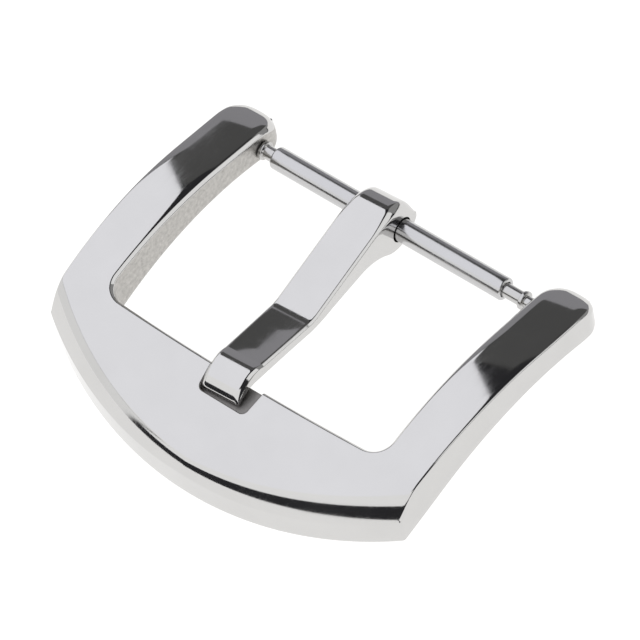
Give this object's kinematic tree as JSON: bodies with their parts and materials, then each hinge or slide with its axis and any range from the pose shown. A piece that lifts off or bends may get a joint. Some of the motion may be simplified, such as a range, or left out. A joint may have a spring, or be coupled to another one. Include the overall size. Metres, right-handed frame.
{
  "type": "pin buckle",
  "caption": "Arched, shield-fronted pin buckle with a hooked tongue that swings on a sprung bar of tube, two end plungers and a coil spring.",
  "frame": {"origin": "middle of the clear width between the arms, on the axis of the strap bar", "axes": "+X along the strap bar towards the right arm, -Y towards the front bar that the tongue rests on, +Z out of the arched top"},
  "size_m": [0.0286, 0.0228, 0.0059],
  "materials": {
    "polished_steel_frame": "stainless steel, mirror polished on the top and sides, finer satin on the inner walls",
    "polished_steel_tongue": "stainless steel, mirror polished",
    "steel_tube": "drawn stainless tube, bright, with fine lengthwise drawing lines",
    "steel_plunger": "turned stainless steel",
    "spring_wire": "bright spring wire"
  },
  "bodies": {
    "frame": {"buckle_frame": "polished_steel_frame"},
    "bar_tube": {"spring_bar_tube": "steel_tube", "spring_bar_spring": "spring_wire"},
    "plunger_left": {"spring_bar_plunger_left": "steel_plunger"},
    "plunger_right": {"spring_bar_plunger_right": "steel_plunger"},
    "tongue": {"tongue": "polished_steel_tongue"}
  },
  "joints": [
    {"name": "tongue_swing", "type": "hinge", "parent": "frame", "child": "tongue", "pos_m": [0, 0, 0], "axis": [-1, 0, 0], "range_deg": [0, 180]},
    {"name": "tube_spin", "type": "hinge", "parent": "frame", "child": "bar_tube", "pos_m": [0, 0, 0], "axis": [1, 0, 0], "continuous": true},
    {"name": "plunger_left_press", "type": "slide", "parent": "bar_tube", "child": "plunger_left", "axis": [1, 0, 0], "range_m": [0, 0.0008], "stiffness_N_per_m": 900, "springref_m": -0.002, "deforming": ["spring_bar_spring"]},
    {"name": "plunger_right_press", "type": "slide", "parent": "bar_tube", "child": "plunger_right", "axis": [-1, 0, 0], "range_m": [0, 0.00125], "stiffness_N_per_m": 900, "springref_m": -0.002, "deforming": ["spring_bar_spring"]}
  ]
}
